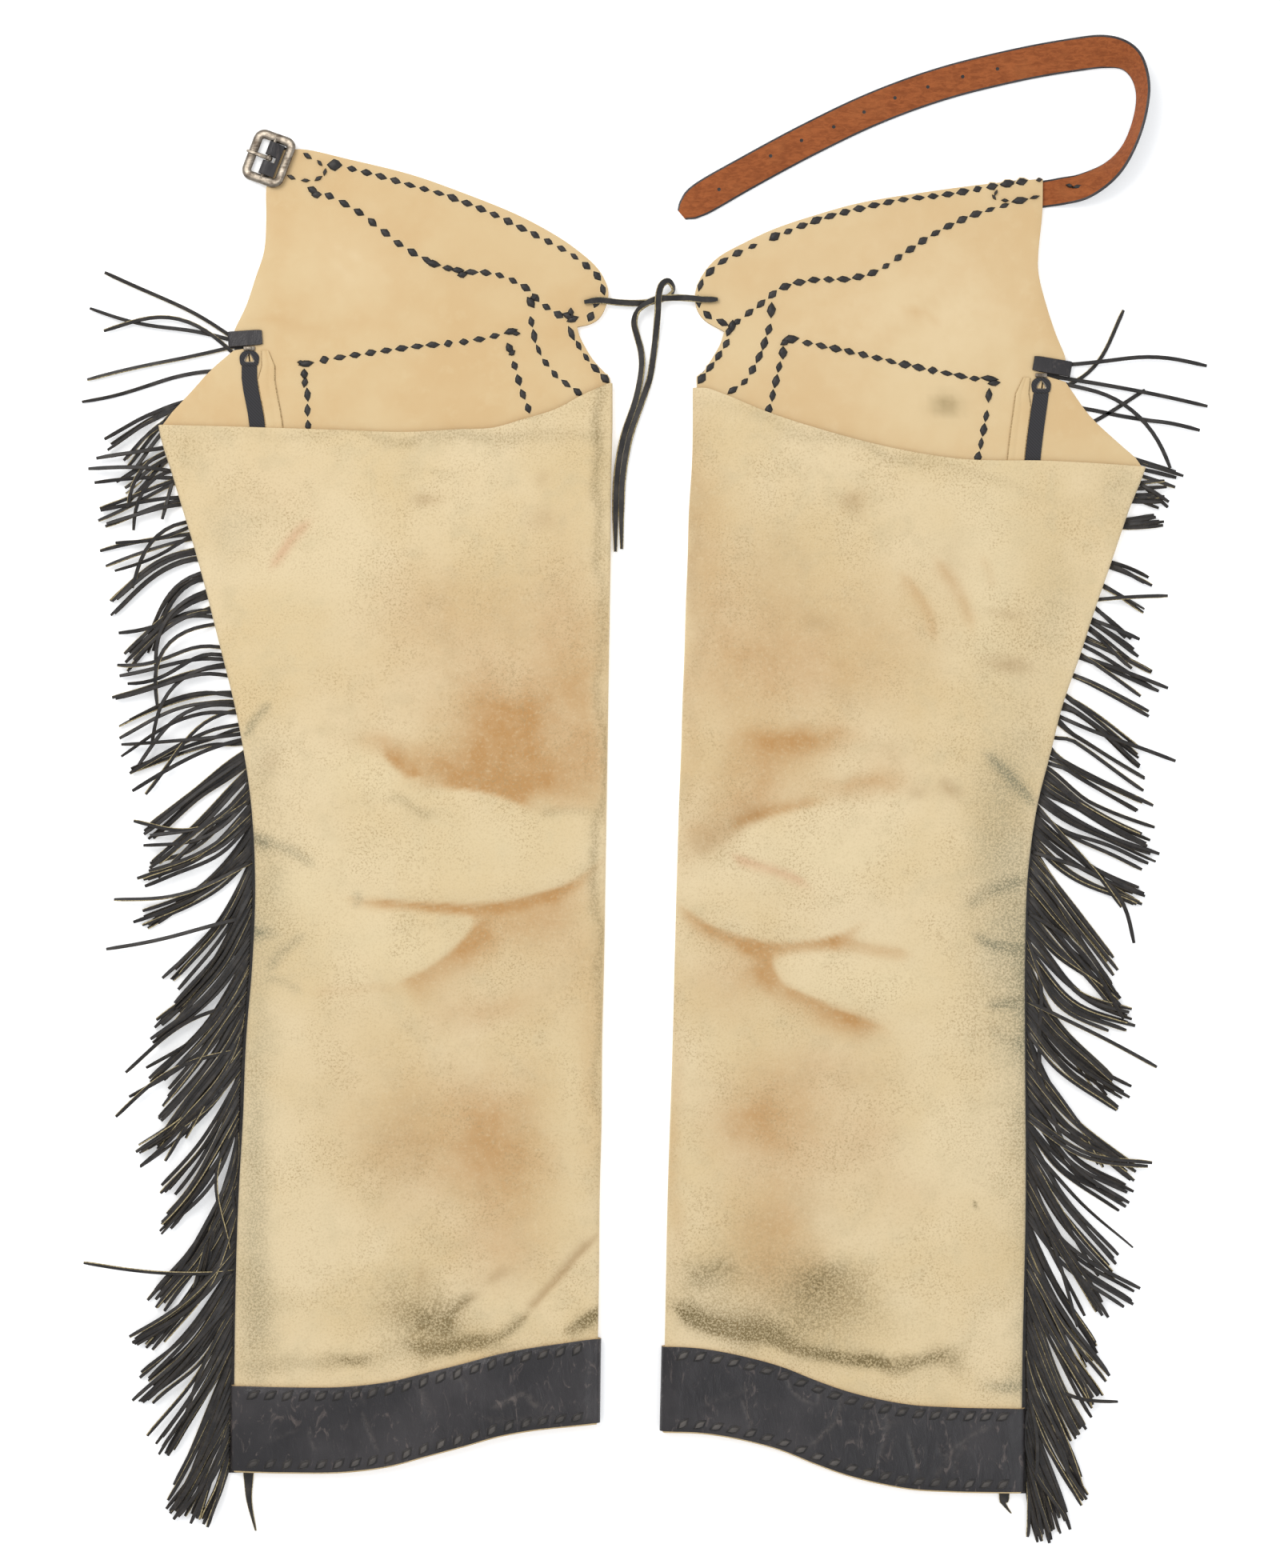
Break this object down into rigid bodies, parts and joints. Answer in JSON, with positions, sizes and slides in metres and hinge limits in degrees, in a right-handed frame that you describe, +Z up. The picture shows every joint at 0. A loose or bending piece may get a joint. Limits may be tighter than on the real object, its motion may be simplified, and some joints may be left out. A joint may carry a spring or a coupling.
{
  "type": "leather chaps",
  "caption": "Full-length tan suede riding chaps with zip sides, laced yokes, side fringe, dark cuffs and a buckled belt, laid flat with the back up.",
  "frame": {"origin": "on the floor under the middle of the whole garment", "axes": "+X towards the wearer's right, +Y from the hems to the waist, +Z up from the floor"},
  "size_m": [0.8768, 1.1599, 0.0257],
  "materials": {
    "leg_left": "rough-out suede outside, smooth inside",
    "leg_right": "rough-out suede outside, smooth inside",
    "cuff_left": "semi-gloss black leather",
    "cuff_right": "semi-gloss black leather",
    "yoke_left": "tan leather",
    "yoke_right": "tan leather",
    "inner_guard_left": "tan leather",
    "inner_guard_right": "tan leather",
    "pocket_patch_left": "tan leather",
    "pocket_patch_right": "tan leather",
    "zip_tape_left": "woven black tape",
    "zip_tape_right": "woven black tape",
    "zip_facing_left": "smooth tan leather",
    "zip_facing_right": "smooth tan leather",
    "fringe_tab_left": "black leather",
    "fringe_tab_right": "black leather",
    "zip_end_left": "woven black tape",
    "zip_end_right": "woven black tape",
    "zip_slider_left": "nickel",
    "zip_slider_right": "nickel",
    "fringe_left": "black leather with tan cut edges",
    "fringe_right": "black leather with tan cut edges",
    "lace_left": "black leather thong",
    "lace_right": "black leather thong",
    "belt_strap": "brown flesh side, black grain side",
    "buckle_strap": "black leather",
    "buckle_frame": "aged nickel",
    "buckle_tongue": "aged nickel"
  },
  "bodies": {
    "root": {"leg_left": "leg_left", "leg_right": "leg_right", "cuff_left": "cuff_left", "cuff_right": "cuff_right", "yoke_left": "yoke_left", "yoke_right": "yoke_right", "inner_guard_left": "inner_guard_left", "inner_guard_right": "inner_guard_right", "pocket_patch_left": "pocket_patch_left", "pocket_patch_right": "pocket_patch_right", "zip_tape_left": "zip_tape_left", "zip_tape_right": "zip_tape_right", "zip_facing_left": "zip_facing_left", "zip_facing_right": "zip_facing_right", "fringe_tab_left": "fringe_tab_left", "fringe_tab_right": "fringe_tab_right", "zip_end_left": "zip_end_left", "zip_end_right": "zip_end_right", "zip_slider_left": "zip_slider_left", "zip_slider_right": "zip_slider_right", "fringe_left": "fringe_left", "fringe_right": "fringe_right", "lace_left": "lace_left", "lace_right": "lace_right", "belt_strap": "belt_strap", "buckle_strap": "buckle_strap"},
    "frame": {"buckle_frame": "buckle_frame"},
    "tongue": {"buckle_tongue": "buckle_tongue"}
  },
  "joints": [
    {"name": "buckle_swing", "type": "hinge", "parent": "root", "child": "frame", "pos_m": [-0.293, 0.485, 0.0051], "axis": [-0.3584, -0.9336, 0], "range_deg": [0, 75]},
    {"name": "tongue_swing", "type": "hinge", "parent": "frame", "child": "tongue", "pos_m": [-0.293, 0.485, 0.0051], "axis": [0.3584, 0.9336, 0], "range_deg": [0, 120]}
  ]
}
